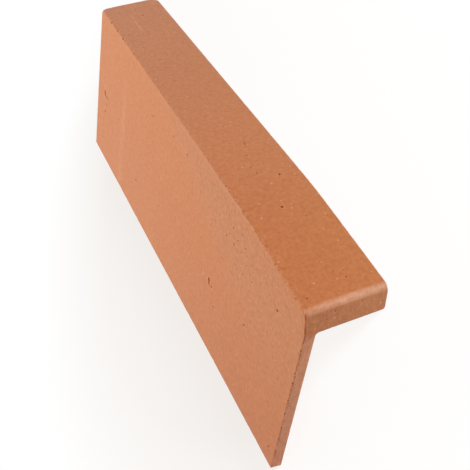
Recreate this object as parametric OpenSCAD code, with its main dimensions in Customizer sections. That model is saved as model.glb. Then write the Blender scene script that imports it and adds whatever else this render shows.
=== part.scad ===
// Verge tile of fired clay, pressed in one piece. A tall flap covers the side of the roof at its
// verge, and a thicker flange along the flap's top lies on the roof. The flange ends in a nose that
// dips towards the next tile down the slope.
// The tile lies as it is put down, like a low tent: on the flap's bottom edge and on its nose.
// +X runs along the tile to its nose, and +Y runs from the flap's bottom edge to the flange.

/* [Length] */
// Length of the tile, up the slope of the roof
tile_length = 450; // [350:5:550]
// Length of the nose, from the bend to the end
nose_length = 104; // [60:1:150]
// Dip of the nose, in degrees
nose_dip = 4.5; // [0.5:0.1:8]
// Lean of the nose's end face, back from square, in degrees
nose_rake = 16; // [0:1:20]

/* [Flap] */
// Height of the flap, from the ridge to the bottom edge
flap_height = 150; // [100:1:200]
// Thickness of the flap
flap_wall = 8.5; // [7:0.5:16]
// Splay of the flap, past square to the flange, in degrees
flap_splay = 10.5; // [0:0.5:15]

/* [Flange] */
// Width of the flange, from the ridge to its outer edge
flange_width = 56; // [45:1:90]
// Thickness of the flange at the ridge
flange_wall = 17.5; // [12:0.5:24]
// Taper of the flange, whose underside rises towards the outer side, in degrees
flange_taper = 1; // [0:0.5:3]
// Draft of the flange's outer side, which leans in towards the underside, in degrees
flange_draft = 5; // [0:0.5:8]

/* [Edges] */
// Radius of the nose's top edge
nose_radius = 3.5; // [2:0.5:8]
// Radius of the nose's outer corner, seen from above
nose_corner = 1; // [1:0.5:6]
// Radius of the flange's outer corner at the other end, seen from above
tail_corner = 9; // [2:0.5:12]
// Radius of the flange's lower outer edge
edge_radius = 6; // [2:0.5:8]
// Radius of the fillet inside the angle of the tile
inner_fillet = 2; // [1:0.5:8]

/* [Hidden] */
$fn = 64;
clay = "#c47c54";

// The tile is drawn as it hangs on the roof, with the flap's outer face on the XZ plane and the
// bend of the ridge at X = 0. The flange is drawn level and then tipped by flap_splay.
back_length = tile_length - nose_length;
// Fall of the nose's top, from the bend to the end face
lip_x = nose_length - flange_wall * sin(nose_rake);
lip_fall = lip_x * tan(nose_dip);
// Level of the underside at the end of the nose
nose_foot = -lip_fall - flange_wall * cos(nose_rake);
// Where the underside bends
bend_x = nose_length + (nose_foot + flange_wall) / tan(nose_dip);
// How far blanks and cutters reach past the tile
spare = 20;
depth = 2 * flap_height;
hair = 0.002;

// Angles from square where the underside meets the flap and where it meets the outer side
inner_lean = flap_splay + flange_taper;
outer_lean = flange_draft + flange_taper;
// Level of the flange's lower outer edge
outer_level = (flange_width * tan(flange_taper) - flange_wall) / (1 - tan(flange_draft) * tan(flange_taper));

// A point seen along the tile, [y, z], after a turn about X
function turned(p, a) = [p[0] * cos(a) - p[1] * sin(a), p[0] * sin(a) + p[1] * cos(a)];

// What the tile lies on, seen along it: the flap's inner bottom edge, and the rounding of the
// flange's lower outer edge, close to the end of the nose
heel = [flap_wall, -flap_height];
toe_level = outer_level - (nose_length - nose_corner / 2 - bend_x) * tan(nose_dip);
edge_middle = [-edge_radius, edge_radius * (1 - sin(outer_lean)) / cos(outer_lean)];
toe = turned([flange_width + toe_level * tan(flange_draft), toe_level], flap_splay)
    + turned(edge_middle, flap_splay - flange_draft);
// Turn that brings both to the floor
span = toe - heel;
lie = asin(edge_radius / norm(span)) - atan2(span[1], span[0]);
low_y = turned([0, -flap_height], lie)[0];
high_y = turned([flange_width, 0], flap_splay + lie)[0];

// What a rounding takes off a corner at the origin, whose sides run along two unit vectors. The
// circle is a hair larger than the rounding, so that it crosses both sides and doesn't graze them.
module corner_waste(radius, side_a, side_b) {
    half = acos(side_a * side_b) / 2;
    reach = radius / tan(half);
    middle = (side_a + side_b) / norm(side_a + side_b);
    difference() {
        polygon([reach * side_a, -middle, reach * side_b, radius / sin(half) * middle]);
        translate(radius / sin(half) * middle) circle(radius + hair);
    }
}

// The tile's top and end face, seen from the flap's side
module side_outline() {
    difference() {
        polygon([
            [-back_length - spare, 0],
            [0, 0],
            [lip_x, -lip_fall],
            [nose_length + depth * tan(nose_rake), nose_foot - depth],
            [-back_length - spare, nose_foot - depth]
        ]);
        translate([lip_x, -lip_fall])
            corner_waste(nose_radius, [-cos(nose_dip), sin(nose_dip)], [sin(nose_rake), -cos(nose_rake)]);
    }
}

// A block with the tile's top, ends, outer face and bottom edge
module blank() {
    intersection() {
        rotate([flap_splay, 0, 0]) translate([0, flange_width + spare, 0]) rotate([90, 0, 0])
            linear_extrude(depth) side_outline();
        translate([-back_length, 0, -flap_height])
            cube([tile_length, 2 * flange_width, flap_height + flange_width]);
    }
}

// Runs a section [y, z] along the underside, level and then with the dip of the nose. The
// section's corner is at the origin, one of its sides is upright, and the other leans from square.
module under_run(lean) {
    intersection() {
        level_run() children();
        rotate([0, atan(tan(nose_dip) / cos(lean)), 0]) level_run() children();
    }
}

module level_run() {
    rotate([90, 0, 90]) translate([0, 0, -2 * tile_length]) linear_extrude(4 * tile_length) children();
}

// The space inside the angle of the tile
module inner_space() {
    under = [cos(inner_lean), sin(inner_lean)];
    below = turned([0, -flange_wall], flap_splay);
    translate([bend_x, flap_wall, below[1] + (flap_wall - below[0]) * tan(inner_lean)])
        under_run(inner_lean) difference() {
            polygon([[0, 0], depth * under, [depth * under[0], -depth], [0, -depth]]);
            corner_waste(inner_fillet, under, [0, -1]);
        }
}

// Moves to a lower corner of the flange's outer side, with the side upright
module at_side(x, level) {
    translate([x, flange_width + level * tan(flange_draft), level]) rotate([-flange_draft, 0, 0])
        children();
}

// The space outside the flange's outer side, and outside its rounded lower edge
module outer_space() {
    touch = -edge_radius / tan(45 + outer_lean / 2) * [cos(outer_lean), sin(outer_lean)];
    at_side(bend_x, outer_level) under_run(outer_lean) {
        translate([0, -depth]) square([depth, depth + flange_wall + spare]);
        difference() {
            polygon([
                [touch[0], -depth], touch, edge_middle, [spare, edge_middle[1]], [spare, -depth]
            ]);
            translate(edge_middle) circle(edge_radius + hair);
        }
    }
}

// Rounds an outer corner of the flange, where the side meets an end that leans back
module corner_cut(x, level, lean, inwards, radius) {
    skew = asin(sin(lean) * sin(flange_draft));
    at_side(x, level) rotate([0, -atan(tan(lean) * cos(flange_draft)), 0]) translate([0, 0, -spare])
        linear_extrude(3 * spare) corner_waste(radius, [inwards, 0], [-sin(skew), -cos(skew)]);
}

module hung_tile() {
    difference() {
        blank();
        inner_space();
        rotate([flap_splay, 0, 0]) {
            outer_space();
            corner_cut(nose_length, nose_foot, nose_rake, -1, nose_corner);
            corner_cut(-back_length, -flange_wall, 0, 1, tail_corner);
        }
    }
}

module verge_tile() {
    color(clay)
        translate([(back_length - nose_length) / 2, -(low_y + high_y) / 2, -turned(heel, lie)[1]])
            rotate([lie, 0, 0]) hung_tile();
}

verge_tile();
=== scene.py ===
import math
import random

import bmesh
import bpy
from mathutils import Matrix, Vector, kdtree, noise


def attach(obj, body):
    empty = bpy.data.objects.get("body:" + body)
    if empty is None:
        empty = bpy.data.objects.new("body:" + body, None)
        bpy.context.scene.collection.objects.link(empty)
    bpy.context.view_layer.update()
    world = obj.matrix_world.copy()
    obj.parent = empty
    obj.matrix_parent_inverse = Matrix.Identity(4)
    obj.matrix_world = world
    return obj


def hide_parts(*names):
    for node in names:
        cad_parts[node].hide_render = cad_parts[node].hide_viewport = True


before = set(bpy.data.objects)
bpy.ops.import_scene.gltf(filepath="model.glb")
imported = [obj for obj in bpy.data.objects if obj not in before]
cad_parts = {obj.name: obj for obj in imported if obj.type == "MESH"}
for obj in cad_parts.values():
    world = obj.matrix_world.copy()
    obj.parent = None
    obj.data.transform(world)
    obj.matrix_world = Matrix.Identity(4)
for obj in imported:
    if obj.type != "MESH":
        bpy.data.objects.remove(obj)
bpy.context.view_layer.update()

# %% [markdown]
# # A verge tile of fired clay
# The tile is one piece: a tall, thin flap with a thicker flange along its top, which ends in a
# nose that dips. It was pressed in a mould, dried and fired without a glaze, so its flat faces
# are nearly flat, its arrises are nearly sharp, and every mark of sand, air and handling shows.
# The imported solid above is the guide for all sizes. It stays in the file for its shape in a
# simulation, and the detailed piece that is made here is shown in its place.

MM = 0.001

# %% [markdown]
# ## The camera first
# A camera is easiest to think of as a point on a sphere around what it looks at: an azimuth, an
# elevation and a distance, and then a roll about its own axis. The tile lies on its side here,
# and the roll turns the view so that the flap hangs down as it would on the roof.
# `to_track_quat` turns the camera's back to the direction it was moved in.

# %% Camera
view_target = Vector((0.0809, 0.0116, 0.0200))
view_distance = 0.6360
azimuth, elevation, roll = (math.radians(a) for a in (120.85, 34.21, -80.33))

outwards = Vector((
    math.sin(azimuth) * math.cos(elevation),
    -math.cos(azimuth) * math.cos(elevation),
    math.sin(elevation),
))
camera = bpy.data.objects.new("camera", bpy.data.cameras.new("camera"))
bpy.context.scene.collection.objects.link(camera)
camera.data.lens = 63.71
camera.data.sensor_width = 36
camera.data.clip_start = 0.01
camera.matrix_world = (
    Matrix.Translation(view_target + outwards * view_distance)
    @ outwards.to_track_quat("Z", "Y").to_matrix().to_4x4()
    @ Matrix.Rotation(roll, 4, "Z")
)
bpy.context.scene.camera = camera
print("camera at", [round(c, 3) for c in camera.matrix_world.translation])

# %% [markdown]
# ## The tile's section
# The piece is modelled as it hangs on a roof: X runs towards the nose, Y from the flap's face
# inwards and Z up, with the ridge's bend at the origin. The flange is easier to think of level,
# so its points are given as across and up, and `tipped` leans them by the splay of the flap.
# The section starts as seven corners and one flat face. Three of its corners are rounded while it
# is still flat, because a vertex bevel on a flat face is simple and exact: the shoulder at which
# the flange's outer side bulges, the lower edge under it, and the fillet inside the angle.

# %% Sizes
tile_length = 450 * MM
nose_length = 104 * MM
back_length = tile_length - nose_length
nose_dip = math.radians(4.5)
nose_rake = math.radians(16)
flap_height = 150 * MM
flap_wall = 8.5 * MM
flap_splay = math.radians(10.5)
flange_width = 56 * MM
flange_wall = 17.5 * MM
flange_taper = math.radians(1)
side_lean = math.radians(14)
shoulder_across = flange_width - 0.1 * MM
shoulder_drop = 4 * MM
shoulder_radius = 16 * MM
low_radius = 2.5 * MM
fillet_radius = 2 * MM
lip_radius = 6 * MM
tail_radius = 9 * MM

ACROSS = Vector((0, math.cos(flap_splay), math.sin(flap_splay)))
UP = Vector((0, -math.sin(flap_splay), math.cos(flap_splay)))


def tipped(x, across, up):
    """A point of the level flange, leaned by the splay."""
    return Vector((x, 0, 0)) + ACROSS * across + UP * up


lip_x = nose_length - flange_wall * math.sin(nose_rake)
lip_up = -lip_x * math.tan(nose_dip)
nose_foot = lip_up - flange_wall * math.cos(nose_rake)
bend_x = nose_length + (nose_foot + flange_wall) / math.tan(nose_dip)
print("the underside bends at", round(bend_x / MM, 2), "mm")
print("the nose's foot is", round(-nose_foot / MM, 2), "mm down")

# %% Flat section with three rounded corners
slope = math.tan(flange_taper)
lean = math.tan(side_lean)
low_up = ((shoulder_across + shoulder_drop * lean) * slope - flange_wall) / (1 - lean * slope)
low_across = shoulder_across + (low_up + shoulder_drop) * lean
apex_across = (flap_wall - flange_wall * math.sin(flap_splay)) / (
    math.cos(flap_splay) - slope * math.sin(flap_splay)
)

tile = bmesh.new()
ridge = tile.verts.new((0, 0, 0))
top_outer = tile.verts.new(tipped(0, flange_width, 0))
shoulder = tile.verts.new(tipped(0, shoulder_across, -shoulder_drop))
low_outer = tile.verts.new(tipped(0, low_across, low_up))
apex = tile.verts.new(tipped(0, apex_across, apex_across * slope - flange_wall))
heel_inner = tile.verts.new((0, flap_wall, -flap_height))
heel_outer = tile.verts.new((0, 0, -flap_height))
section = tile.faces.new((ridge, top_outer, shoulder, low_outer, apex, heel_inner, heel_outer))


def round_corner(vert, radius, segments):
    """Rounds one corner of the flat section with an arc that touches both its sides."""
    sides = [(edge.other_vert(vert).co - vert.co).normalized() for edge in vert.link_edges]
    half_angle = sides[0].angle(sides[1]) / 2
    bmesh.ops.bevel(
        tile, geom=[vert], offset=radius / math.tan(half_angle), offset_type="OFFSET",
        segments=segments, profile=0.5, affect="VERTICES", material=-1,
    )


round_corner(shoulder, shoulder_radius, segments=4)
round_corner(low_outer, low_radius, segments=6)
round_corner(apex, fillet_radius, segments=6)
section, = tile.faces
print("the section has", len(section.verts), "corners")

# %% [markdown]
# ## From the section to the length
# Clay doesn't bend at a line, so the bend is drawn out softly over 24 mm each way. The section is
# extruded in one long step up to it, in short steps through it and in one more step to the end of
# the nose, and then every corner sinks by how far the dip has fallen at its place. The underside
# bends nearer to the end than the top does, because the leaning end face is only as long as the
# flange is thick, so the nose is a little thinner. The ridge and the inner angle have to stay on
# the flap and sink straight down, and the flange's outer corners sink square to its top.
# The extrusion is the one for separate faces, because the one for regions makes its faces in
# another order on every run, and the cuts, the bevel and the merges after it depend on the order.
# It takes each old face away, so the section's own end is filled again afterwards.

# %% Extrusion
BEND_REACH = 24 * MM
BEND_STEP = 6 * MM
bmesh.ops.translate(tile, vec=(-back_length, 0, 0), verts=section.verts[:])
end, at = section, -back_length
for x in [number * BEND_STEP for number in range(-4, 8)] + [nose_length]:
    end, = bmesh.ops.extrude_discrete_faces(tile, faces=[end])["faces"]
    bmesh.ops.translate(tile, vec=(x - at, 0, 0), verts=end.verts[:])
    at = x
bmesh.ops.edgeloop_fill(tile, edges=[edge for edge in tile.edges if edge.is_boundary])
print("prism:", len(tile.faces), "faces, open edges:", sum(not edge.is_manifold for edge in tile.edges))

# %% The dip
HALF_WAY_DOWN = -9 * MM


def soft_fall(beyond):
    """How far the dip has fallen beyond a bend that is drawn out to a soft curve."""
    if beyond >= BEND_REACH:
        return beyond * math.tan(nose_dip)
    return max(beyond + BEND_REACH, 0) ** 2 / (4 * BEND_REACH) * math.tan(nose_dip)


def sink(point):
    """Where a corner of the level tile goes when the nose dips."""
    on_top = point.dot(UP) > HALF_WAY_DOWN
    fall = soft_fall(point.x - (0 if on_top else bend_x))
    tilt = 0 if on_top else slope
    if point.z < -flap_height / 2:
        return point
    if point.dot(ACROSS) < flange_width / 2:
        return point - Vector((0, 0, fall / (math.cos(flap_splay) - tilt * math.sin(flap_splay))))
    return point - UP * fall


for vert in tile.verts:
    vert.co = sink(vert.co)
bmesh.ops.recalc_face_normals(tile, faces=tile.faces)
print("the top falls by", round(soft_fall(nose_length) / MM, 2), "mm along the nose")

# %% [markdown]
# ## Cutting the ends
# A bisecting plane that clears its outer side works like a wire through clay. One cut leans the
# end of the nose. A rounded edge on the outside of the tile is then a fan of such cuts, each
# tangent to the same circle. That gives clean corners even where roundings of very different
# size meet, which a bevel finds hard.

# %% Plane cuts and the rounded ends
NOSE_TOP = Vector((math.sin(nose_dip), 0, 0)) + UP * math.cos(nose_dip)
RAKE = Vector((math.cos(nose_rake), 0, 0)) + UP * math.sin(nose_rake)
TAIL = Vector((-1, 0, 0))


def cut_off(point, outwards):
    """Cuts off all that lies outside a plane, and closes the cut with one face."""
    cut = bmesh.ops.bisect_plane(
        tile, geom=tile.verts[:] + tile.edges[:] + tile.faces[:], dist=1e-7,
        plane_co=point, plane_no=outwards, clear_outer=True,
    )["geom_cut"]
    rim = [part for part in cut if isinstance(part, bmesh.types.BMEdge) and part.is_boundary]
    bmesh.ops.edgeloop_fill(tile, edges=rim)


def round_edge(point, one, other, radius, cuts):
    """Rounds the edge through a point, between faces with these normals, by tangent cuts."""
    axis = point - (one + other) * radius / (1 + one.dot(other))
    for step in range(cuts):
        outwards = one.slerp(other, (step + 0.5) / cuts)
        cut_off(axis + outwards * radius, outwards)


cut_off(tipped(nose_length, 0, nose_foot), RAKE)
round_edge(tipped(lip_x, 0, lip_up), NOSE_TOP, RAKE, lip_radius, cuts=9)
round_edge(tipped(-back_length, flange_width, 0), ACROSS, TAIL, tail_radius, cuts=8)
bmesh.ops.remove_doubles(tile, verts=tile.verts[:], dist=0.15 * MM)
bmesh.ops.recalc_face_normals(tile, faces=tile.faces)
print("cut:", len(tile.faces), "faces, open edges:", sum(not edge.is_manifold for edge in tile.edges))
print("volume", round(tile.calc_volume() / MM**3), "mm3")

# %% [markdown]
# ## Worn arrises
# Clay never keeps a knife-sharp edge: the mould, the drying and the handling leave a rounding of
# half a millimetre or so. All edges that are still sharp get one small bevel. Its faces are
# marked in an attribute, which later says where the clay is worn and may be nibbled.

# %% Small bevels, marked as worn
SHARP_FROM = math.radians(36)
ARRIS = 0.5 * MM
worn = tile.verts.layers.float.new("worn")
sharp = [edge for edge in tile.edges if edge.calc_face_angle(0) > SHARP_FROM]
print(len(sharp), "sharp edges, shortest", round(min(e.calc_length() for e in sharp) / MM, 2), "mm")
bevel = bmesh.ops.bevel(
    tile, geom=sharp, offset=ARRIS, offset_type="OFFSET", segments=3, profile=0.5,
    affect="EDGES", clamp_overlap=False, material=-1,
)
for face in bevel["faces"]:
    for vert in face.verts:
        vert[worn] = 1
print("bevelled:", len(tile.faces), "faces, open edges:", sum(not e.is_manifold for e in tile.edges))

# %% [markdown]
# ## A fine grid to work on
# Large flat faces have no points to push, so the whole skin is sliced into squares of about two
# millimetres. A bisecting plane that clears nothing only draws a line through the faces that it
# is given. Each family of planes gets just the faces that it should cut, and after every cut
# only those beyond it are kept in hand, which keeps the slicing quick. The flange's grid leans
# with it and reaches 26 mm down from the ridge, and the flap's upright grid begins there. The
# parts are collected in a dict, which keeps its order, and a set wouldn't.

# %% One family of cuts
GRID = 2 * MM
ALONG = Vector((1, 0, 0))
DOWN = Vector((0, 0, -1))
INWARDS = Vector((0, 1, 0))


def sliced(faces, direction, start, stop):
    """Cuts the faces by planes across a direction, about one grid apart."""
    hand = list(faces)
    count = max(round((stop - start) / GRID), 1)
    for step in range(count + 1):
        place = start + (stop - start) * step / count
        parts = dict.fromkeys(part for face in hand for part in (face, *face.verts, *face.edges))
        cut = bmesh.ops.bisect_plane(
            tile, geom=list(parts), dist=2e-6, plane_co=direction * place, plane_no=direction,
        )["geom"]
        hand = [
            face for face in cut if isinstance(face, bmesh.types.BMFace)
            and max(vert.co.dot(direction) for vert in face.verts) > place + 1e-5
        ]


# %% Which faces each family of planes cuts
FLANGE_GRID = 26 * MM
NEAR_FLANGE = 29 * MM
UNDER_FLANGE = 20 * MM
INNER_ANGLE = 18 * MM


def faces_where(test):
    """The faces whose middle and normal pass a test."""
    return [face for face in tile.faces if test(face.calc_center_median(), face.normal)]


def on_flap(at, n):
    """All of the flap below the flange's grid."""
    return at.z < -FLANGE_GRID


def on_flap_face(at, n):
    """The flap's outer face beside the flange, and its inner face just under the angle."""
    return at.z > -NEAR_FLANGE and (n.y < -0.9 or n.y > 0.99 and at.z < -INNER_ANGLE)


def on_flap_rim(at, n):
    """The flap's ends and its bottom edge."""
    return at.z < -UNDER_FLANGE and abs(n.y) < 0.5


def on_flange(at, n):
    """The flange's top, underside and ends."""
    return at.dot(UP) > -NEAR_FLANGE and abs(n.dot(ACROSS)) < 0.7 and n.y > -0.9


def on_flange_rim(at, n):
    """The flange's ends and its outer side."""
    at_end = abs(n.x) > 0.5
    return at.dot(UP) > -NEAR_FLANGE and abs(n.dot(UP)) < 0.7 and (at_end or at.y > UNDER_FLANGE)


# %% Slicing
sliced(tile.faces, ALONG, -back_length + GRID, nose_length - GRID)
sliced(faces_where(on_flap), DOWN, FLANGE_GRID + GRID, flap_height - GRID)
sliced(faces_where(on_flap_face), DOWN, GRID, FLANGE_GRID)
sliced(faces_where(on_flap_rim), INWARDS, GRID, flap_wall - GRID)
sliced(faces_where(on_flange), ACROSS, GRID, flange_width - GRID)
sliced(faces_where(on_flange_rim), -UP, GRID, FLANGE_GRID)
bmesh.ops.remove_doubles(tile, verts=tile.verts[:], dist=0.04 * MM)
print("sliced:", len(tile.faces), "faces, open edges:", sum(not e.is_manifold for e in tile.edges))
print("triangles:", sum(len(face.verts) - 2 for face in tile.faces))

# %% [markdown]
# ## Pits, nibbles and grains
# Air and burnt-out grit leave small pits in fired clay, and its arrises lose small nibbles. They
# are real hollows here, so they catch the light from any side. The plainest ones are placed one by
# one, in millimetres from the ridge's bend, and more are scattered with a fixed seed. Each has its
# place, its radius, its depth as a share of the radius, and how dark its inside is made. Three
# helpers give places on the tile.

# %% Places on the tile
chance = random.Random(11)
hollows = []


def flange_top(x, across):
    """A point on the flange's top, level or dipping."""
    return tipped(x, across, -soft_fall(x))


def on_ridge(x):
    """A point on the ridge, which stays in the flap's outer face as it dips."""
    return Vector((x, 0, -soft_fall(x) / math.cos(flap_splay)))


def on_end(across, up):
    """A point on the end face of the nose."""
    return tipped(nose_length - (up - nose_foot) * math.tan(nose_rake), across, up)


# %% Hollows on the flap
for x, z, radius, depth, shade in (
    (-33.0, -89.9, 2.1, 0.5, 1.0), (-32.5, -92.6, 1.5, 0.5, 0.8), (-31, -93.6, 1.0, 0.5, 0.6),
    (-27.5, -92.5, 1.2, 0.6, 0.9), (-19.1, -105.7, 1.1, 0.6, 0.55), (-18.6, -108.8, 0.8, 0.5, 0.3),
    (31.1, -79.8, 1.2, 0.7, 0.85), (69, -33, 1.2, 0.7, 0.9), (62, -51, 0.6, 0.7, 0.5),
    (83, -67, 0.6, 0.7, 0.5), (87, -78, 0.7, 0.7, 0.5), (95, -137, 1.1, 0.7, 0.8),
    (-183, -29, 1.6, 0.3, 0.5), (-187, -30, 1.1, 0.3, 0.4), (-19, -57, 0.9, 0.5, 0.4),
    (-214, -114, 1.6, 0.3, 0.45), (-211, -113, 1.2, 0.3, 0.35), (-73, -135, 1.0, 0.3, 0.3),
    (-322.4, -77.9, 2.6, 0.25, 0.8), (-321.6, -80.3, 2.2, 0.25, 0.75), (-316.9, -80.8, 2.2, 0.25, 0.6),
    (-312.4, -80.6, 1.8, 0.25, 0.45), (-315, -88, 1.8, 0.2, 0.25), (-319, -97.5, 1.7, 0.3, 0.55),
    (-8, -22, 1.0, 0.5, 0.8), (2, -26, 1.0, 0.5, 0.9), (9, -31, 0.9, 0.5, 0.8), (-3, -33, 1.0, 0.5, 0.8),
    (14, -24, 0.9, 0.5, 0.9), (-12, -30, 0.9, 0.5, 0.7), (20, -34, 0.8, 0.5, 0.8), (27, -29, 0.8, 0.5, 0.8),
    (6, -18, 0.8, 0.5, 0.8), (17, -44, 0.9, 0.5, 0.8), (31, -40, 0.8, 0.5, 0.7), (-17, -17, 0.8, 0.5, 0.7),
    (-133, -20, 1.0, 0.5, 0.7), (-102, -18.6, 1.1, 0.5, 0.7), (-149, -100, 0.9, 0.5, 0.7),
    (-57, -67, 0.9, 0.5, 0.6), (-15.6, -34, 1.0, 0.6, 0.9), (-323, -130, 1.2, 0.3, 0.5),
):
    hollows.append((Vector((x, 0, z)) * MM, radius * MM, depth, shade))
print(len(hollows), "hollows on the flap")

# %% Hollows on the flange's top
for x, across, radius, depth, shade in (
    (-330, 28.5, 1.3, 0.4, 0.45), (-315, 31.5, 1.3, 0.4, 0.6), (-74, 33.4, 0.8, 0.6, 0.7),
    (-72, 33, 0.8, 0.8, 0.8), (-70, 32.6, 0.8, 0.6, 0.6), (-25.5, 40, 1.1, 0.8, 0.9),
    (8.4, 26, 1.2, 0.8, 1.0), (23, 37, 0.8, 0.7, 0.6), (-57, 28, 0.9, 0.7, 0.6), (-42, 25, 0.9, 0.7, 0.6),
    (-33, 26, 1.0, 0.6, 0.5), (-35, 26.5, 0.8, 0.5, 0.45), (-100, 27, 0.8, 0.6, 0.5),
    (-120, 20, 0.7, 0.6, 0.4), (-13.5, 16, 0.7, 0.5, 0.4), (35, 27, 0.6, 0.5, 0.45),
    (77, 36, 0.6, 0.6, 0.5), (83, 35, 0.8, 0.7, 0.7), (89, 5, 0.8, 0.7, 0.8),
):
    hollows.append((flange_top(x * MM, across * MM), radius * MM, depth, shade))
print(len(hollows), "hollows with those on the flange")

# %% Hollows on the nose's end, the ridge and the flap's front arris
for across, up, radius in (
    (18.3, -13.5, 0.9), (26, -9, 0.7), (31, -17, 0.6), (44, -15, 0.6), (12, -17, 0.7), (49, -9, 0.7),
):
    hollows.append((on_end(across * MM, up * MM), radius * MM, 0.7, 0.6))
for x in (-63, -41, -30, -23, -12, 3, 22, 31, 41, 55, 60, 71, 79, 86):
    hollows.append((on_ridge(x * MM), chance.uniform(0.8, 1.4) * MM, 0.45, 0.4))
for x, radius, shade in (
    (-346, 3.0, 0.1), (-314, 1.6, 0.7), (-295, 1.6, 1.0), (-278, 1.6, 0.9), (-271, 1.2, 0.6),
    (-245, 1.4, 0.6), (-235, 1.2, 0.6),
):
    hollows.append((on_ridge(x * MM), radius * MM, 0.4, shade))
for z in (-36, -50, -56, -65, -81, -94, -107, -119):
    hollows.append((Vector((104, 0.1, z)) * MM, chance.uniform(0.7, 1.0) * MM, 0.5, 1.0))
by_hand = len(hollows)
print(by_hand, "hollows placed by hand")

# %% Scattered hollows, and pale grains
for number in range(26):
    x, z = chance.uniform(-340, 98), chance.uniform(-146, -6)
    place = Vector((x, chance.choice((0, flap_wall / MM)), z)) * MM
    hollows.append((place, chance.uniform(0.4, 0.7) * MM, 0.7, 0.5))
for number in range(16):
    x, across = chance.uniform(-340, 92) * MM, chance.uniform(4, 52) * MM
    hollows.append((flange_top(x, across), chance.uniform(0.4, 0.7) * MM, 0.7, 0.5))
for number in range(22):
    x, z = chance.uniform(-344, 102), chance.choice((0, -flap_height / MM))
    place = Vector((x, 0.2, z)) * MM if z else on_ridge(x * MM)
    hollows.append((place, chance.uniform(0.4, 0.9) * MM, 0.5, 0.4))

grains = [Vector((-44.4, 0, -92.9)) * MM]
for x, across in ((54, 2), (13, 8.5), (-155, 18), (-227, 21), (80, 14)):
    grains.append(flange_top(x * MM, across * MM))
print(len(hollows) - by_hand, "hollows scattered, and", len(grains), "pale grains")

# %% [markdown]
# ## A finer grid round each hollow
# A hollow of a millimetre needs points about a third of a millimetre apart, and the grid has one
# every two. Only the squares near a hollow or a grain are subdivided, so the rest stays light. A
# k-d tree finds them quickly, and edges that are short already are left alone.

# %% Subdividing near the hollows
FACE_REACH = 1.3 * MM
SHORT_EDGE = 0.7 * MM
middles = kdtree.KDTree(len(tile.faces))
tile.faces.ensure_lookup_table()
for index, face in enumerate(tile.faces):
    middles.insert(face.calc_center_median(), index)
middles.balance()

marks = [(place, radius) for place, radius, _, _ in hollows] + [(place, MM) for place in grains]
near = {index for place, radius in marks for _, index, _ in middles.find_range(place, radius + FACE_REACH)}
edges = dict.fromkeys(edge for index in sorted(near) for edge in tile.faces[index].edges)
long_edges = [edge for edge in edges if edge.calc_length() > SHORT_EDGE]
bmesh.ops.subdivide_edges(tile, edges=long_edges, cuts=4, use_grid_fill=True)
print("refined:", len(tile.faces), "faces, open edges:", sum(not e.is_manifold for e in tile.edges))
print("triangles:", sum(len(face.verts) - 2 for face in tile.faces))

# %% [markdown]
# ## What the finish has to know
# A shader can't tell an end face from a side, or a pit from a bump, so the mesh carries it. Each
# attribute keeps a value for every point: how dark it is in a hollow, how near to a hollow's rim,
# on a cut end or not, how far up the curve of the lip, and in a pale grain or not. `hung` keeps
# its place on the hanging tile, so that a mark can be given by its distance from the ridge.

# %% Attributes for the finish
END_FACING = 0.6
LIP_REACH = 8 * MM
NOSE_TOP_ALONG = Vector((math.cos(nose_dip), 0, 0)) - UP * math.sin(nose_dip)
LIP_TURN = NOSE_TOP.angle(RAKE)
hollow = tile.verts.layers.float.new("hollow")
rim = tile.verts.layers.float.new("rim")
cut_end = tile.verts.layers.float.new("cut_end")
lip = tile.verts.layers.float.new("lip")
grog_grain = tile.verts.layers.float.new("grog_grain")
hung = tile.verts.layers.float_vector.new("hung")
tile.normal_update()
for vert in tile.verts:
    vert[hung] = vert.co
    vert[cut_end] = 1.0 if abs(vert.normal.x) > END_FACING else 0.0
    turned_by = math.atan2(vert.normal.dot(NOSE_TOP_ALONG), vert.normal.dot(NOSE_TOP)) / LIP_TURN
    if vert.co.x > lip_x - LIP_REACH and 0 < turned_by < 1:
        vert[lip] = math.sin(math.pi * turned_by) * (1 - vert.normal.dot(ACROSS) ** 2)
print("points on the cut ends:", sum(vert[cut_end] > 0 for vert in tile.verts))
print("points on the lip:", sum(vert[lip] > 0 for vert in tile.verts))

# %% [markdown]
# ## Letting the clay move
# Every point is pressed inwards, against its own normal, so the piece stays inside its guide.
# Three movements add up: a slow waviness from pressing and drying, an uneven wear along the
# arrises, and the hollows, which are bowls with a ragged rim. `noise.noise` gives smooth values
# between about -1 and 1, and its place in space decides them, so they never change.

# %% Waviness and nibbled arrises, in millimetres
WAVE_DEPTH = 0.16
RIPPLE_DEPTH = 0.03
NIBBLE_DEPTH = 0.45
moves = []
for vert in tile.verts:
    wave = 0.5 + 0.5 * noise.noise(vert.co * 22)
    ripple = 0.5 + 0.5 * noise.noise(vert.co * 140)
    nibble = max(noise.noise(vert.co * 330 + Vector((5, 1, 3))), 0) ** 2
    moves.append((WAVE_DEPTH * wave + RIPPLE_DEPTH * ripple + NIBBLE_DEPTH * vert[worn] * nibble) * MM)
print("deepest so far", round(max(moves) / MM, 2), "mm")

# %% Hollows and grains
points = kdtree.KDTree(len(tile.verts))
tile.verts.ensure_lookup_table()
for index, vert in enumerate(tile.verts):
    points.insert(vert.co, index)
points.balance()

for place, radius, depth, shade in hollows:
    for spot, index, away in points.find_range(place, 1.9 * radius):
        vert = tile.verts[index]
        ragged = 1 + 0.35 * noise.noise((spot - place) * 1600 + place * 50)
        bowl = max(1 - (away / (radius * ragged)) ** 2, 0)
        ring = math.exp(-((away / radius - 1.3) / 0.3) ** 2)
        moves[index] += bowl * depth * radius
        vert[hollow] = max(vert[hollow], min(2 * bowl, 1) * shade)
        vert[rim] = max(vert[rim], ring * shade)
for place in grains:
    for spot, index, away in points.find_range(place, 0.9 * MM):
        tile.verts[index][grog_grain] = min(1.8 - 2 * away / MM, 1)
print("deepest hollow", round(max(moves) / MM, 2), "mm")

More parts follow.
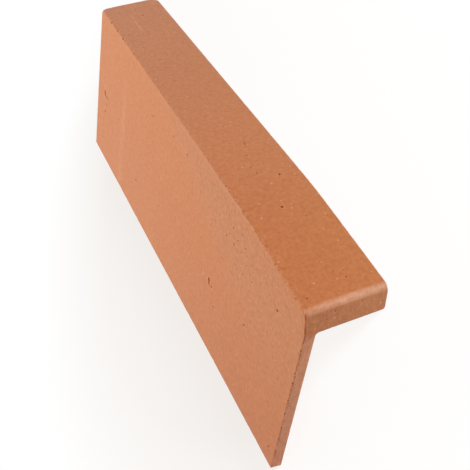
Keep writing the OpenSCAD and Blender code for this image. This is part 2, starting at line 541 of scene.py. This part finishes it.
# %% [markdown]
# ## A ridge that has settled
# The ridge isn't straight. While the clay was soft it sank unevenly, by about 0.4 mm, and by
# about 1.3 mm over the third near the nose. The fall fades within a centimetre or two on each
# side. It goes straight down, and every point takes it together with its own move.

# %% Settling, in millimetres
SETTLED = 0.4
SETTLED_MORE = 0.9
FADES_OVER = 9 * MM
sags = []
for vert, move in zip(tile.verts, moves):
    beside = (vert.co - on_ridge(vert.co.x)).length / FADES_OVER
    near_nose = min(max((vert.co.x + 70 * MM) / (45 * MM), 0), 1)
    uneven = 1 + 0.4 * noise.noise(vert.co * 90) + 0.45 * noise.noise(vert.co * 240)
    sag = (SETTLED + SETTLED_MORE * near_nose) * uneven * MM * math.exp(-beside * beside)
    vert.co += vert.normal * -move - Vector((0, 0, sag))
    sags.append(sag)
print(len(sags), "points moved, and the ridge sank by up to", round(max(sags) / MM, 2), "mm")

# %% [markdown]
# ## Laid down
# The tile is stored as it would lie on a floor, like a low tent: on the inner corner of the
# flap's bottom edge and on the rounded lower edge of the nose. The angle comes from the line
# between those two. The mesh itself is turned and moved, so the object needs no transform.

# %% Into its stored place
under_nose = (ALONG * -math.tan(nose_dip) + ACROSS * slope - UP).normalized()
low_side = ACROSS * math.cos(side_lean) - UP * math.sin(side_lean)
low_corner = tipped(nose_length, low_across, low_up - (nose_length - bend_x) * math.tan(nose_dip))
toe = low_corner - (low_side + under_nose) * low_radius / (1 + low_side.dot(under_nose))
span = (toe - Vector((nose_length, flap_wall, -flap_height))).yz
lie = math.asin(low_radius / span.length) - math.atan2(span.y, span.x)
bmesh.ops.rotate(tile, verts=tile.verts, cent=(0, 0, 0), matrix=Matrix.Rotation(lie, 3, "X"))
print("turned by", round(math.degrees(lie), 2), "degrees")

low = Vector(min(vert.co[axis] for vert in tile.verts) for axis in range(3))
high = Vector(max(vert.co[axis] for vert in tile.verts) for axis in range(3))
middle = (low + high) / 2
bmesh.ops.translate(tile, verts=tile.verts, vec=(-middle.x, -middle.y, -low.z))
for face in tile.faces:
    face.smooth = True
bmesh.ops.recalc_face_normals(tile, faces=tile.faces)

mesh = bpy.data.meshes.new("fired_tile")
tile.to_mesh(mesh)
tile.free()
fired_tile = bpy.data.objects.new("fired_tile", mesh)
bpy.context.scene.collection.objects.link(fired_tile)
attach(fired_tile, "root")
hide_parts("verge_tile")
print("size in mm:", [round(c / MM, 2) for c in high - low])

# %% [markdown]
# ## The clay's finish
# The finish is built from small node groups, one for each thing that firing and sand do. A group
# hands out only colours, masks and heights, and the shader itself stays in the material. The
# grain is read from the object's own coordinates, so it runs through the piece and needs no
# unwrapping. `wired` is a short way to make a node and connect it.

# %% Nodes and groups
def wired(tree, kind, inputs=(), **settings):
    """Makes a node, sets its properties, and fills its inputs from sockets or values."""
    node = tree.nodes.new(kind)
    for name, value in settings.items():
        setattr(node, name, value)
    for name, value in dict(inputs).items():
        if isinstance(value, bpy.types.NodeSocket):
            tree.links.new(value, node.inputs[name])
        else:
            node.inputs[name].default_value = value
    return node


def new_group(title, *outputs):
    """An empty node group that is given a place, with its input sockets and its output sockets."""
    tree = bpy.data.node_groups.new(title, "ShaderNodeTree")
    tree.interface.new_socket("Vector", in_out="INPUT", socket_type="NodeSocketVector")
    for name, kind in outputs:
        tree.interface.new_socket(name, in_out="OUTPUT", socket_type=kind)
    return tree, tree.nodes.new("NodeGroupInput").outputs, tree.nodes.new("NodeGroupOutput").inputs


# %% [markdown]
# ### Tone
# The kiln never heats a tile evenly, and the clay is never mixed perfectly. Broad soft patches
# drift between a paler and a deeper orange, with faint streaks down the flap where it was wiped
# and a finer, darker mottle over both. Three more helpers come first, which most groups need.

# %% Noise, limits and mixes
def noisy(tree, place, scale, detail, roughness=0.5):
    """The value of one noise."""
    return wired(tree, "ShaderNodeTexNoise", {
        "Vector": place, "Scale": scale, "Detail": detail, "Roughness": roughness,
    }).outputs["Fac"]


def between(tree, value, low, high, to_low=0.0, to_high=1.0):
    """A value stretched from one range to another, and clamped."""
    return wired(tree, "ShaderNodeMapRange", {
        "Value": value, "From Min": low, "From Max": high, "To Min": to_low, "To Max": to_high,
    }).outputs["Result"]


def mixed(tree, factor, one, other):
    """A mix of two colours."""
    node = wired(tree, "ShaderNodeMix", data_type="RGBA")
    for socket, value in zip((node.inputs[0], node.inputs[6], node.inputs[7]), (factor, one, other)):
        if isinstance(value, bpy.types.NodeSocket):
            tree.links.new(value, socket)
        else:
            socket.default_value = value
    return node.outputs[2]


# %% Group: kiln tone
tone, given, result = new_group("kiln tone", ("Color", "NodeSocketColor"))
patches = noisy(tone, given["Vector"], 13, 3, 0.6)
long_way = wired(tone, "ShaderNodeMapping", {"Vector": given["Vector"], "Scale": (90, 9, 90)})
streaks = noisy(tone, long_way.outputs["Vector"], 1, 5)
mottle = noisy(tone, given["Vector"], 110, 5, 0.6)
clay = mixed(tone, between(tone, patches, 0.36, 0.64), (0.515, 0.132, 0.016, 1), (0.570, 0.160, 0.026, 1))
clay = mixed(tone, between(tone, streaks, 0.35, 0.65, 0, 0.35), clay, (0.585, 0.180, 0.042, 1))
clay = mixed(tone, between(tone, mottle, 0.5, 0.75, 0, 0.3), clay, (0.455, 0.108, 0.014, 1))
tone.links.new(clay, result["Color"])
print(tone.name, "has", len(tone.nodes), "nodes")

# %% [markdown]
# ### Sandy grain
# Sand in the mould and in the clay gives a fine tooth. Two noises, one of about three millimetres
# and one finer than a millimetre, make both a small change of shade and the height for a bump.

# %% Group: sandy grain
def arithmetic(tree, operation, one, other):
    """One step of arithmetic on two values."""
    return wired(tree, "ShaderNodeMath", {0: one, 1: other}, operation=operation).outputs[0]


VALUE = "NodeSocketFloat"
grain, given, result = new_group("sandy grain", ("Shade", VALUE), ("Height", VALUE))
sand = noisy(grain, given["Vector"], 1300, 3, 0.7)
tooth = noisy(grain, given["Vector"], 340, 3)
height = arithmetic(grain, "ADD", sand, tooth)
grain.links.new(between(grain, height, 0.7, 1.3), result["Shade"])
grain.links.new(height, result["Height"])
print(grain.name, "has", len(grain.nodes), "nodes")

# %% [markdown]
# ### Grog
# Grog is old pottery, crushed and mixed in. A few of its grains show as pale specks, and iron
# spots show as dark ones. Voronoi cells give one grain each, and the cell's random colour decides
# whether it shows at all and which kind it is.

# %% Group: grog specks
SHOWN_FROM = 0.95
grog, given, result = new_group("grog specks", ("Pale", VALUE), ("Dark", VALUE))
cells = wired(grog, "ShaderNodeTexVoronoi", {"Vector": given["Vector"], "Scale": 300, "Randomness": 1})
lots = wired(grog, "ShaderNodeSeparateColor", {"Color": cells.outputs["Color"]}).outputs
speck = between(grog, cells.outputs["Distance"], 0.10, 0.24, 1, 0)
for name, lot in (("Pale", "Red"), ("Dark", "Green")):
    shown = arithmetic(grog, "GREATER_THAN", lots[lot], SHOWN_FROM)
    grog.links.new(arithmetic(grog, "MULTIPLY", speck, shown), result[name])
print(grog.name, "has", len(grog.nodes), "nodes")

# %% [markdown]
# ### Drag marks
# A wire cut the tile to length while it was soft. It dragged sand with it, so the ends carry fine
# streaks that run down them. The streaks are a noise that is squeezed across and stretched
# downwards, in the tile's hung place. A second, finer noise breaks the painted shade along the
# outer arris of the ends into dashes.

# %% Group: drag marks
drag_marks, given, result = new_group("drag marks", ("Shade", VALUE), ("Arris dashes", VALUE))
squeezed = wired(drag_marks, "ShaderNodeMapping", {"Vector": given["Vector"], "Scale": (60, 700, 70)})
streak = wired(drag_marks, "ShaderNodeTexNoise", {
    "Vector": squeezed.outputs["Vector"], "Scale": 1, "Detail": 4, "Roughness": 0.6, "Distortion": 0.6,
})
drag_marks.links.new(streak.outputs["Fac"], result["Shade"])
drag_marks.links.new(noisy(drag_marks, given["Vector"], 330, 3), result["Arris dashes"])
print(drag_marks.name, "has", len(drag_marks.nodes), "nodes")

# %% [markdown]
# ### The material and its masks
# The groups meet in one material. It starts with the masks that several of its steps share. Most
# places are measured on the hanging tile, in metres from the bend of the ridge: `along` towards
# the nose, `inward` from the flap's outer face, `height`, and `across`, which runs over the
# flange's top and is below zero on the flap. A mark on one face can then be cut out by two or
# three soft limits.

# %% Material: helpers
fired_clay = bpy.data.materials.new("fired_clay")
fired_clay.use_nodes = True
tree = fired_clay.node_tree
tree.nodes.clear()
coords = wired(tree, "ShaderNodeTexCoord").outputs["Object"]
hung_place = wired(tree, "ShaderNodeAttribute", attribute_name="hung").outputs["Vector"]
along, inward, height = wired(tree, "ShaderNodeSeparateXYZ", {"Vector": hung_place}).outputs
across = wired(
    tree, "ShaderNodeVectorMath", {0: hung_place, 1: ACROSS}, operation="DOT_PRODUCT",
).outputs["Value"]


def grouped(title, place=coords):
    """One of the groups above, in the material."""
    node = wired(tree, "ShaderNodeGroup", node_tree=bpy.data.node_groups[title])
    tree.links.new(place, node.inputs["Vector"])
    return node.outputs


def attribute(name):
    """A value that was kept on the mesh."""
    return wired(tree, "ShaderNodeAttribute", attribute_name=name).outputs["Fac"]


def times(*factors):
    """The product of several masks."""
    product = factors[0]
    for factor in factors[1:]:
        product = arithmetic(tree, "MULTIPLY", product, factor)
    return product


def toned(body, mask, *colour):
    """The colour so far, mixed towards another one by a mask."""
    return mixed(tree, mask, body, (*colour, 1))


# %% Material: what its steps share
body = grouped("kiln tone")["Color"]
sandy = grouped("sandy grain")
specks = grouped("grog specks")
drag = grouped("drag marks", hung_place)
end = attribute("cut_end")
streaky = noisy(tree, hung_place, 60, 3)
spotty = noisy(tree, coords, 420, 2)
outer_face = between(tree, inward, 0.0006, 0.0002)
print("shared masks:", len(tree.nodes), "nodes")

# %% [markdown]
# ### Fired unevenly, with painted light and shade
# Tiles stand close together in a kiln, so each is fired harder in one place than in another. The
# far end is duller, and the flap's face is lighter. The flange's outer half is lighter too, which is
# painted light, as on a slightly crowned top. The flap is palest just under the ridge, which is
# painted light, and darker low down towards the nose, which is painted shade. The top near the nose
# is deeper in colour. Every step mixes the tone so far towards one more colour.

# %% Zones of tone
tail_side = between(tree, along, 0.02, -0.32, 0, 0.5)
painted_light_outer_half = between(tree, across, 0.008, 0.055, 0, 0.7)
painted_light_upper_flap = times(
    between(tree, height, -0.095, -0.015), between(tree, along, 0.06, -0.03, 0, 0.3),
    between(tree, across, 0.002, 0.0),
)
painted_shade_low_nose = times(between(tree, along, -0.16, 0.10), between(tree, height, -0.04, -0.15, 0, 0.8))
near_top = times(
    between(tree, across, 0.0, 0.004), between(tree, across, 0.052, 0.020),
    between(tree, along, -0.28, -0.05, 0, 0.3),
)
body = toned(body, tail_side, 0.55, 0.170, 0.045)
# Painted light: the flange's outer half is lighter.
body = toned(body, painted_light_outer_half, 0.63, 0.186, 0.032)
# Painted light: the upper flap is paler.
body = toned(body, painted_light_upper_flap, 0.72, 0.255, 0.060)
body = toned(body, times(outer_face, 0.5), 0.655, 0.208, 0.036)
# Painted shade: the flap is darker low down towards the nose.
body = toned(body, painted_shade_low_nose, 0.47, 0.110, 0.012)
body = toned(body, near_top, 0.50, 0.098, 0.004)
print("with the zones:", len(tree.nodes), "nodes")

# %% [markdown]
# ### Dust on the flap
# Fine pale dust clings to the upper flap, in a zone that reaches further down towards the nose.
# Its lower limit slants, so it is a limit on the sum of the height and a part of the length.
# Small spots of bare clay show through it.

# %% Dust
towards_nose = arithmetic(tree, "ADD", height, arithmetic(tree, "MULTIPLY", along, 0.45))
dusty = times(
    outer_face, between(tree, towards_nose, -0.085, -0.045), between(tree, height, -0.105, -0.045),
)
body = toned(body, times(dusty, 0.5), 0.566, 0.227, 0.086)
body = toned(body, times(dusty, between(tree, spotty, 0.53, 0.68, 0, 0.6)), 0.38, 0.100, 0.022)
print("with the dust:", len(tree.nodes), "nodes")

# %% [markdown]
# ### The rough ridge, with painted shade and light
# Hands and other tiles rub the ridge first, and its skin is speckled. A dark band on the flange's
# side of it is painted shade, and a pale band on the flap's side is painted light, a few
# millimetres at most, which sharpen the edge between the shaded flange and the lit flap. Both are
# the same spotty noise, which also speckles them like rubbed skin, and it is stronger towards the nose.

# %% Ridge
ridge_rub_and_shade = times(
    between(tree, spotty, 0.42, 0.62), between(tree, along, -0.08, 0.01, 0.4, 0.8),
    between(tree, height, -0.018, -0.012),
)
painted_shade_beside_ridge = times(
    ridge_rub_and_shade, between(tree, across, 0.0, 0.0004), between(tree, across, 0.0032, 0.0008),
)
painted_light_below_ridge = times(
    ridge_rub_and_shade, between(tree, across, 0.0, -0.0002), between(tree, across, -0.0011, -0.0003),
)
# Painted shade beside the ridge, and painted light below it.
body = toned(body, painted_shade_beside_ridge, 0.33, 0.076, 0.012)
body = toned(body, times(painted_light_below_ridge, 0.6), 0.78, 0.36, 0.17)
print("with the ridge:", len(tree.nodes), "nodes")

# %% [markdown]
# ### Two pale marks
# Something ran down the flap near its far end and dried as a pale run, and something rubbed a
# short pale streak along the flange's top. Each is a box of soft limits, broken up by a noise.

# %% Pale run and rubbed streak
pale_run = times(
    outer_face, between(tree, along, -0.269, -0.264), between(tree, along, -0.253, -0.259),
    between(tree, height, -0.03, -0.06), between(tree, streaky, 0.3, 0.6, 0.1, 0.45),
)
rubbed = times(
    between(tree, along, -0.322, -0.314), between(tree, along, -0.280, -0.290),
    between(tree, across, 0.0193, 0.0205), between(tree, across, 0.0229, 0.0217),
    between(tree, spotty, 0.40, 0.58, 0.1, 0.6),
)
body = toned(body, pale_run, 0.68, 0.30, 0.14)
body = toned(body, rubbed, 0.78, 0.38, 0.20)
print("with the marks:", len(tree.nodes), "nodes")

# %% [markdown]
# ### Browned ends
# The cut ends have no pressed skin and fire browner. They are darkest beside the ridge, lighter
# towards the flange's outer side, and lighter again down the flap. The drag marks and a blotchy
# noise then go both ways from that tone, darker and paler.

# %% Ends
browned = mixed(tree, between(tree, inward, 0.045, 0.0), (0.45, 0.170, 0.060, 1), (0.25, 0.063, 0.011, 1))
browned = toned(browned, between(tree, height, -0.022, -0.030), 0.60, 0.225, 0.095)
browned = toned(browned, between(tree, height, -0.09, -0.15, 0, 0.8), 0.76, 0.235, 0.100)
body = mixed(tree, times(end, 0.85), body, browned)
body = toned(body, times(end, between(tree, drag["Shade"], 0.42, 0.66, 0, 0.4)), 0.25, 0.066, 0.018)
body = toned(body, times(end, between(tree, drag["Shade"], 0.50, 0.34, 0, 0.35)), 0.59, 0.212, 0.080)
blotchy = noisy(tree, coords, 210, 4, 0.7)
body = toned(body, times(end, between(tree, blotchy, 0.52, 0.66, 0, 0.55)), 0.29, 0.082, 0.024)
body = toned(body, times(end, between(tree, blotchy, 0.48, 0.36, 0, 0.45)), 0.55, 0.196, 0.062)
print("with the ends:", len(tree.nodes), "nodes")

# %% [markdown]
# ### Grain, wear, a painted highlight and painted shade
# The low spots of the sandy grain are darker. Worn arrises are rubbed a little paler, where the
# grain stands high. The rounded lip of the nose carries a pale painted highlight, weaker next to
# the ridge, and under the same mask a real coat gives it a slight polish. Along the outer arris of
# the ends a dark line in dashes is painted shade, as under a slightly undercut arris.

# %% Grain, wear, lip highlight and arris shade
wear = times(attribute("worn"), between(tree, sandy["Shade"], 0.0, 0.9, 0.25, 0.9))
# Painted highlight on the lip. The same mask sets the real coat's weight.
lip_highlight_and_polish = times(
    attribute("lip"), between(tree, inward, 0.0, 0.026, 0.6, 1.05),
    between(tree, drag["Shade"], 0.34, 0.60, 1.0, 0.75), between(tree, spotty, 0.36, 0.60, 0.7, 1.15),
)
# Painted shade along the outer arris of the ends, in dashes.
painted_arris_shade = times(
    end, between(tree, inward, 0.0002, 0.0005), between(tree, inward, 0.0017, 0.0009),
    between(tree, drag["Arris dashes"], 0.45, 0.56),
)
body = toned(body, between(tree, sandy["Shade"], 0.1, 0.9, 0.42, 0.0), 0.40, 0.092, 0.014)
body = toned(body, times(wear, 0.4), 0.66, 0.26, 0.11)
# Painted highlight: the lip is paler.
body = toned(body, times(lip_highlight_and_polish, 0.9), 0.70, 0.32, 0.165)
# Painted shade: the dark arris line.
body = toned(body, times(painted_arris_shade, 0.85), 0.32, 0.046, 0.003)
print("with the wear:", len(tree.nodes), "nodes")

# %% [markdown]
# ### Specks and hollows
# The smallest things come last, on top of all the rest: pale grains, pale and dark specks, the
# rubbed rims of the hollows, and the dark inside of the hollows themselves.

# %% Specks, rims and hollows
body = toned(body, times(attribute("grog_grain"), 0.8), 0.80, 0.38, 0.17)
body = toned(body, times(specks["Pale"], 0.55), 0.82, 0.48, 0.24)
body = toned(body, times(specks["Dark"], 0.35), 0.20, 0.050, 0.016)
body = toned(body, times(attribute("rim"), 0.3), 0.72, 0.33, 0.15)
body = toned(body, between(tree, attribute("hollow"), 0.0, 1.0, 0, 0.92), 0.24, 0.032, 0.002)
print("with the specks:", len(tree.nodes), "nodes")

# %% [markdown]
# ### Relief and shader
# Two bumps follow each other: the sandy grain everywhere, and the drag marks on the cut ends. The
# surface is matt. Fired clay has no glaze, only a faint dusty sheen that shows at a flat angle,
# and the lip's polish is a weak coat. The constants stand on the shader's own sockets.

# %% Bumps and shader
sand_bump = wired(tree, "ShaderNodeBump", {"Height": sandy["Height"], "Strength": 0.4, "Distance": 0.00022})
drag_bump = wired(tree, "ShaderNodeBump", {
    "Height": times(drag["Shade"], end), "Strength": 0.5, "Distance": 0.0004,
    "Normal": sand_bump.outputs["Normal"],
})
shader = wired(tree, "ShaderNodeBsdfPrincipled", {
    "Base Color": body,
    "Roughness": between(tree, sandy["Shade"], 0, 1, 0.88, 0.72),
    "IOR": 1.5,
    "Specular IOR Level": 0.25,
    "Coat Weight": lip_highlight_and_polish,
    "Coat Roughness": 0.32,
    "Coat IOR": 1.5,
    "Sheen Weight": 0.33,
    "Sheen Roughness": 0.5,
    "Normal": drag_bump.outputs["Normal"],
})
wired(tree, "ShaderNodeOutputMaterial", {"Surface": shader.outputs["BSDF"]})
fired_tile.data.materials.append(fired_clay)
print("the finish has", len(tree.nodes), "nodes and", len(bpy.data.node_groups), "groups")

# %% [markdown]
# ## The floor
# The floor is a sheet of white paper. With an exposure that suits the clay, such a sheet looks
# nearly white, so for the camera it shines by itself, and the lamps light only a fifth of it,
# which keeps the shadow pale. Near the tile that glow has a warm tint, painted light as if bounced
# from the clay. It goes to plain white further off, and half way to white under the tile and on the
# flange's side, where the glow is painted light that lifts the tile's shadow. Light that bounces to
# the tile meets plain paper.

# %% Floor
def looked_at(tree):
    """1 for what the camera sees, straight or by a reflection or through glass."""
    path = wired(tree, "ShaderNodeLightPath").outputs
    seen = arithmetic(tree, "MAXIMUM", path["Is Camera Ray"], path["Is Glossy Ray"])
    return arithmetic(tree, "MAXIMUM", seen, path["Is Transmission Ray"])


floor_mesh = bmesh.new()
bmesh.ops.create_grid(floor_mesh, x_segments=1, y_segments=1, size=4)
floor_data = bpy.data.meshes.new("floor")
floor_mesh.to_mesh(floor_data)
floor_mesh.free()
floor = bpy.data.objects.new("floor", floor_data)
bpy.context.scene.collection.objects.link(floor)
print("floor of", [round(side, 1) for side in floor.dimensions], "m")

# %% Paper
pale_floor = bpy.data.materials.new("pale_floor")
pale_floor.use_nodes = True
paper = pale_floor.node_tree
paper.nodes.clear()
place = wired(paper, "ShaderNodeTexCoord").outputs["Object"]
away = wired(paper, "ShaderNodeVectorMath", {0: place}, operation="LENGTH").outputs["Value"]
towards_flange = wired(paper, "ShaderNodeSeparateXYZ", {"Vector": place}).outputs["Y"]
far_off = between(paper, away, 0.20, 0.36)
# Painted light: more glow under the tile and on the flange's side lifts the shadow there.
plain = arithmetic(paper, "MAXIMUM", far_off, between(paper, towards_flange, -0.08, 0.0, 0, 0.55))
whiteness = arithmetic(paper, "MULTIPLY", looked_at(paper), between(paper, plain, 0, 1, 0.8, 1.0))
# Painted light: a warm tint near the tile, as if bounced from the clay.
clay_glow_tint = mixed(paper, plain, (1.0, 0.95, 0.91, 1), (1, 1, 1, 1))
matt_paper = wired(paper, "ShaderNodeBsdfDiffuse", {"Color": (0.82, 0.82, 0.82, 1)})
white_paper = wired(paper, "ShaderNodeEmission", {"Color": clay_glow_tint, "Strength": 1.0})
both = wired(paper, "ShaderNodeMixShader", {
    0: whiteness, 1: matt_paper.outputs[0], 2: white_paper.outputs[0],
})
wired(paper, "ShaderNodeOutputMaterial", {"Surface": both.outputs[0]})
floor_data.materials.append(pale_floor)
print("the paper has", len(paper.nodes), "nodes")

# %% [markdown]
# ## The world
# The world lights the tile softly from all sides, and it is plain white where the camera looks at
# it. The light path tells the two apart, as it does on the floor.

# %% World
world = bpy.data.worlds.new("soft_studio")
bpy.context.scene.world = world
world.use_nodes = True
sky = world.node_tree
sky.nodes.clear()
soft = wired(sky, "ShaderNodeBackground", {"Color": (1, 1, 1, 1), "Strength": 0.36})
white = wired(sky, "ShaderNodeBackground", {"Color": (1, 1, 1, 1), "Strength": 1.0})
both = wired(sky, "ShaderNodeMixShader", {0: looked_at(sky), 1: soft.outputs[0], 2: white.outputs[0]})
wired(sky, "ShaderNodeOutputWorld", {"Surface": both.outputs[0]})
print("the world has", len(sky.nodes), "nodes")

# %% [markdown]
# ## The lamps
# One large soft lamp above lights the flap, which faces up. Two weaker ones, out beyond the nose
# and the flange, light the flange and the end face. The sheet has two lamps of its own, both
# slightly cool: a strong one that lays a long, soft shadow beyond the flap, and a weak one from
# the flap's side. Light linking keeps the sets apart, as each lamp reaches only its collection.

# %% Lamps
COOL = (0.78, 0.90, 1.0)


def soft_lamp(title, place, size, watts):
    """A square soft box that looks at the tile."""
    lamp = bpy.data.objects.new(title, bpy.data.lights.new(title, "AREA"))
    bpy.context.scene.collection.objects.link(lamp)
    lamp.data.shape = "SQUARE"
    lamp.data.size = size
    lamp.data.energy = watts
    facing = Vector(place).to_track_quat("Z", "Y").to_matrix().to_4x4()
    lamp.matrix_world = Matrix.Translation(place) @ facing
    return lamp


tile_only = bpy.data.collections.new("tile_only")
tile_only.objects.link(fired_tile)
floor_only = bpy.data.collections.new("floor_only")
floor_only.objects.link(floor)
for title, place, size, watts, lit in (
    ("overhead", (-0.53, -0.53, 1.30), 0.9, 16.6, tile_only),
    ("flange_side", (0.84, 1.0, 0.75), 0.7, 3.4, tile_only),
    ("low_side", (0.78, 1.59, 0.31), 0.6, 4.5, tile_only),
    ("floor_wash", (0.72, 1.61, 0.34), 0.5, 148, floor_only),
    ("floor_front", (-0.38, -0.65, 0.27), 0.4, 2.8, floor_only),
):
    lamp = soft_lamp(title, place, size, watts)
    lamp.light_linking.receiver_collection = lit
    if lit is floor_only:
        lamp.data.color = COOL
    print(title, "lights", lit.name)

# %% Finish
view = bpy.context.scene.view_settings
view.view_transform = "Standard"
